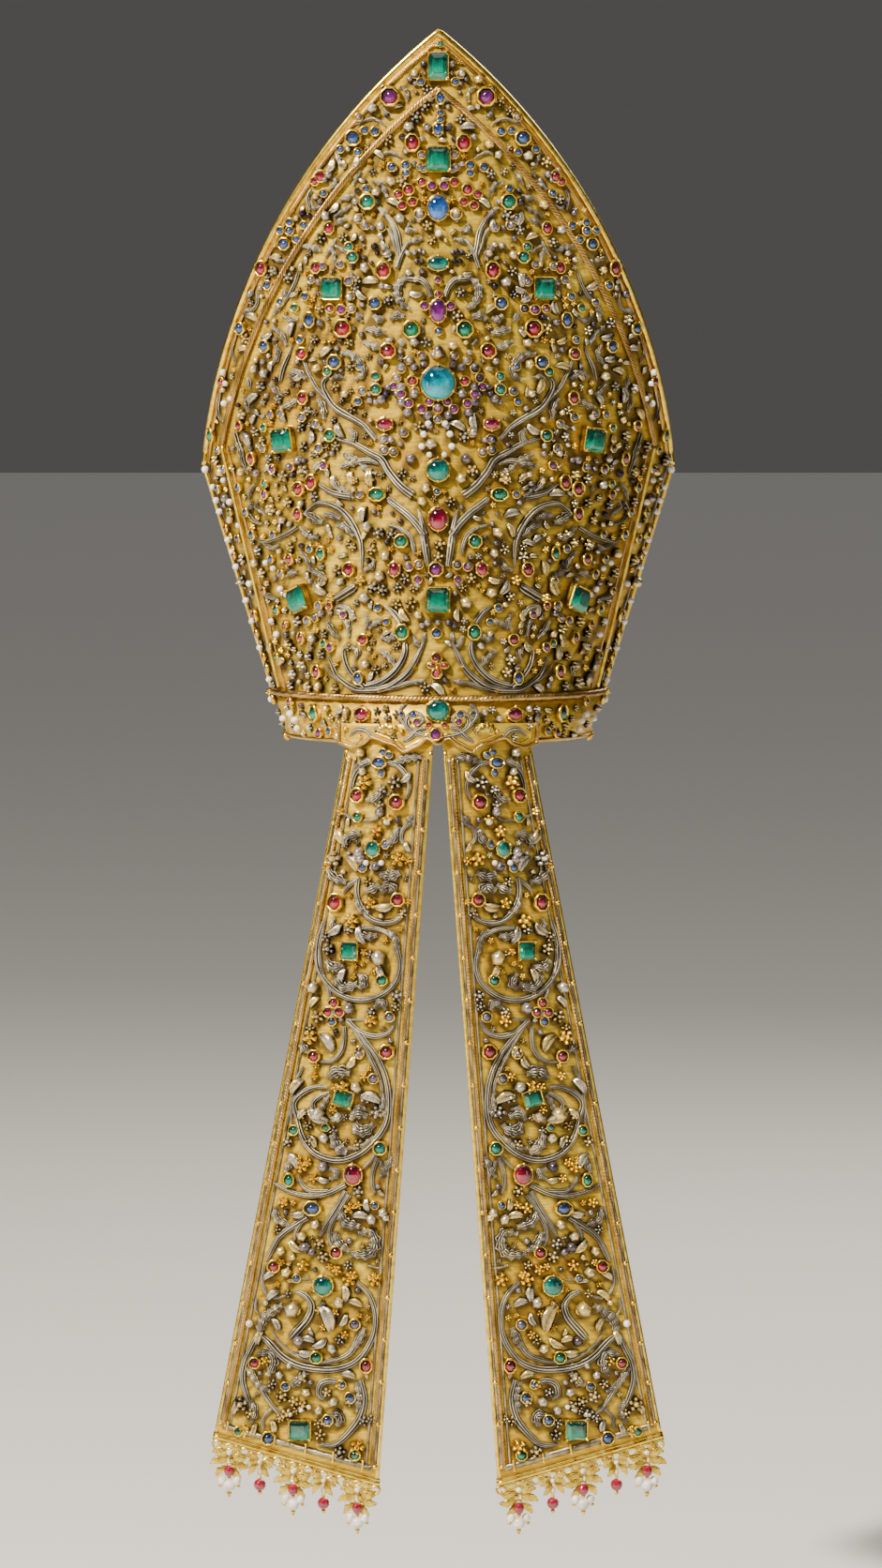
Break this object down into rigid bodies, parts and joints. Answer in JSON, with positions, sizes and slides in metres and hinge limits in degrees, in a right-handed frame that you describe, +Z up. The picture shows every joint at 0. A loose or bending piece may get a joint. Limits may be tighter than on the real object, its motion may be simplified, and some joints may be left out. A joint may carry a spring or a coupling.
{
  "type": "bishop mitre with two lappets",
  "caption": "Tall two-horned ceremonial hat of stiff gold cloth with jewelled scrolls, gold edge rolls and two fringed lappets hanging at the back.",
  "frame": {"origin": "middle of the head opening, level with the lower edge of the rim", "axes": "+Z up to the tips of the horns, -Y out of the back where the lappets hang, +X to the right of someone looking at the back"},
  "size_m": [0.2826, 0.2116, 0.8891],
  "materials": {
    "cloth_of_gold": "cloth of gold, satin sheen",
    "gold_metal": "polished gilt metal",
    "gold_cord": "twisted gilt cord",
    "silver_gilt_thread": "couched silver-gilt thread, slightly tarnished",
    "emerald": "polished green stone in a gilt collet",
    "sapphire": "polished blue stone in a gilt collet",
    "ruby": "polished red stone in a gilt collet",
    "amethyst": "polished violet stone in a gilt collet",
    "aquamarine": "polished pale blue-green stone in a gilt collet"
  },
  "bodies": {
    "root": {"apex_emerald": "emerald", "back_border_cord": "gold_cord", "back_edge_moulding": "gold_metal", "back_panel": "cloth_of_gold", "back_scrollwork": "silver_gilt_thread", "band_emerald": "emerald", "band_ruby_left": "ruby", "band_ruby_right": "ruby", "centre_amethyst": "amethyst", "centre_ruby": "ruby", "front_border_cord": "gold_cord", "front_edge_moulding": "gold_metal", "front_panel": "cloth_of_gold", "front_scrollwork": "silver_gilt_thread", "great_aquamarine": "aquamarine", "heart_ruby_left": "ruby", "heart_ruby_right": "ruby", "lappet_collar": "cloth_of_gold", "lappet_left": "cloth_of_gold", "lappet_left_end_bar": "gold_metal", "lappet_left_frame": "gold_cord", "lappet_left_fringe": "gold_metal", "lappet_left_scrollwork": "silver_gilt_thread", "lappet_right": "cloth_of_gold", "lappet_right_end_bar": "gold_metal", "lappet_right_frame": "gold_cord", "lappet_right_fringe": "gold_metal", "lappet_right_scrollwork": "silver_gilt_thread", "left_circle_emerald": "emerald", "left_cushion_emerald": "emerald", "left_end_emerald": "emerald", "left_great_ruby": "ruby", "left_middle_emerald": "emerald", "left_teal_stone": "aquamarine", "lower_emerald_left": "emerald", "lower_emerald_right": "emerald", "oval_emerald": "emerald", "oval_ruby_left": "ruby", "oval_ruby_right": "ruby", "pale_sapphire": "sapphire", "right_circle_emerald": "emerald", "right_cushion_emerald": "emerald", "right_end_emerald": "emerald", "right_great_ruby": "ruby", "right_middle_emerald": "emerald", "right_teal_stone": "aquamarine", "rim_band": "cloth_of_gold", "rim_top_cord": "gold_cord", "round_emerald": "emerald", "ruby_flower": "ruby", "shoulder_emerald_left": "emerald", "shoulder_emerald_right": "emerald", "side_emerald_left": "emerald", "side_emerald_right": "emerald", "side_seam_rod_left": "gold_metal", "side_seam_rod_right": "gold_metal", "square_emerald": "emerald", "upper_emerald": "emerald", "upper_sapphire": "sapphire"}
  },
  "joints": []
}
